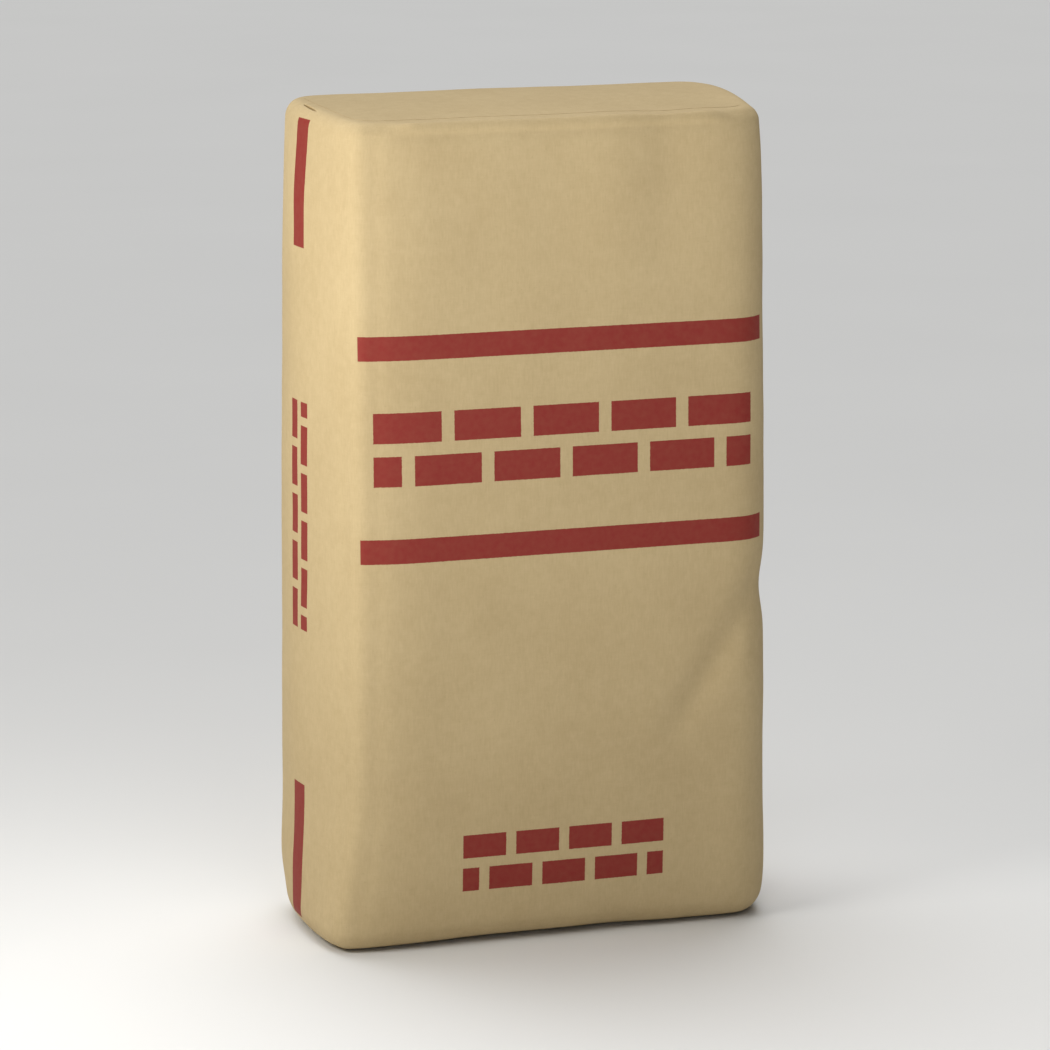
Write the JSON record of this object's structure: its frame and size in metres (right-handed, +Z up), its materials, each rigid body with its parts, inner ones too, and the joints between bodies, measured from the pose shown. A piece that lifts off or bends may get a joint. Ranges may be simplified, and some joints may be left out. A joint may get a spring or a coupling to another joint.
{
  "type": "cement bag",
  "caption": "Filled kraft paper valve sack of cement standing on its end, with glued block ends and a filling valve at the top of one narrow side.",
  "frame": {"origin": "on the ground under the middle of the sack", "axes": "+Z up along the sack's height, +X to the right along the broad printed front, +Y from the front to the back; the valve is at -X"},
  "size_m": [0.2852, 0.146, 0.5],
  "materials": {
    "kraft_paper": "matt beige kraft paper with dull red printed bars",
    "sleeve_paper": "matt brown kraft paper",
    "cement": "dull grey powder, packed"
  },
  "bodies": {
    "root": {"paper_sack": "kraft_paper", "cement_fill": "cement", "valve_sleeve": "sleeve_paper", "top_cover_sheet": "kraft_paper", "bottom_cover_sheet": "kraft_paper"}
  },
  "joints": []
}
